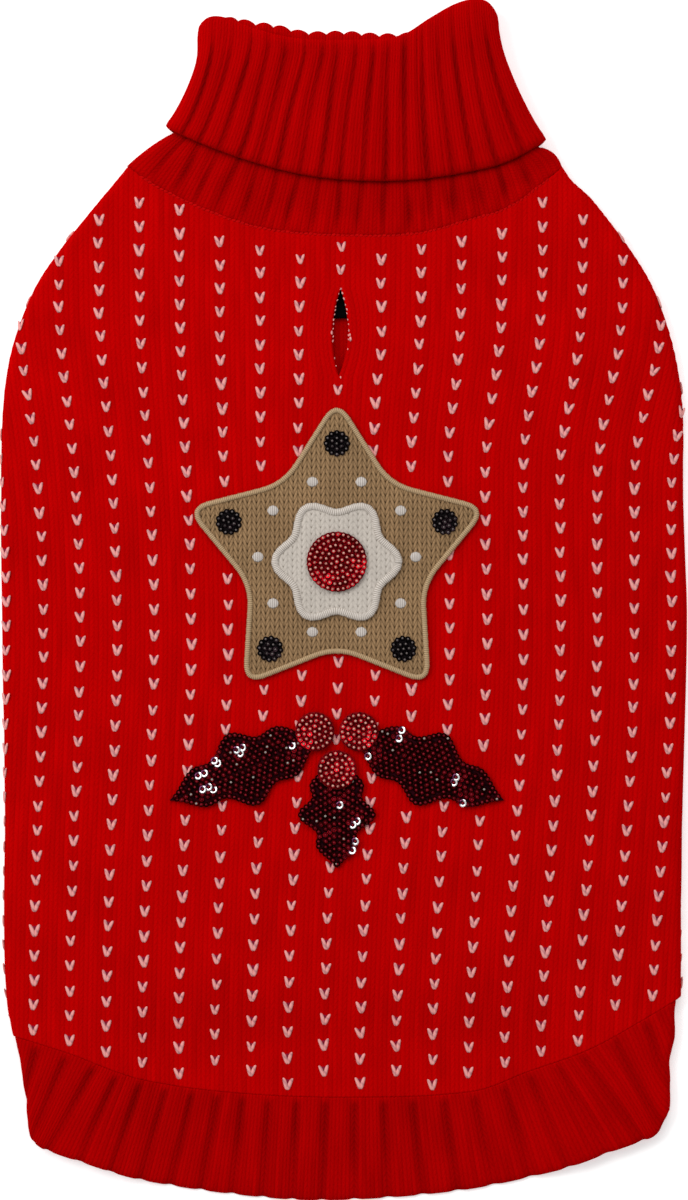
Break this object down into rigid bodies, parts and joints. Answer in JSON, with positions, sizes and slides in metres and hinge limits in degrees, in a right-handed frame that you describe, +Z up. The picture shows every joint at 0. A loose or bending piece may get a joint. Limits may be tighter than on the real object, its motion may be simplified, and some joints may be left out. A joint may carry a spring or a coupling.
{
  "type": "dog sweater",
  "caption": "Knitted dog sweater laid flat, with a ribbed turn-down collar, a leash slit, leg openings, a ribbed hem and a star and holly-leaf applique.",
  "frame": {"origin": "under the middle of the laid-out garment's length and width, on the surface it rests on", "axes": "+X to the garment's right as seen from above, +Y along the back toward the collar, +Z up out of the back"},
  "size_m": [0.2873, 0.5041, 0.0134],
  "materials": {
    "red_knit": "soft acrylic knit",
    "red_rib": "two-by-two rib knit",
    "black_tape": "woven tape",
    "tan_knit": "fine knit, satin-stitched edge",
    "cream_knit": "fine knit, satin-stitched edge",
    "red_sequin_cloth": "cloth covered with red sequins",
    "dark_sequin_cloth": "cloth covered with dark sequins"
  },
  "bodies": {
    "root": {"back_panel": "red_knit", "belly_panel": "red_knit", "hem_rib": "red_rib", "belly_rib": "red_rib", "collar": "red_rib", "leg_cuff_left": "red_rib", "leg_cuff_right": "red_rib", "neck_label": "black_tape", "star_patch": "tan_knit", "star_centre": "cream_knit", "centre_disc": "red_sequin_cloth", "leaf_left": "dark_sequin_cloth", "leaf_right": "dark_sequin_cloth", "leaf_lower": "dark_sequin_cloth", "berry_left": "red_sequin_cloth", "berry_right": "red_sequin_cloth", "berry_lower": "red_sequin_cloth"}
  },
  "joints": []
}
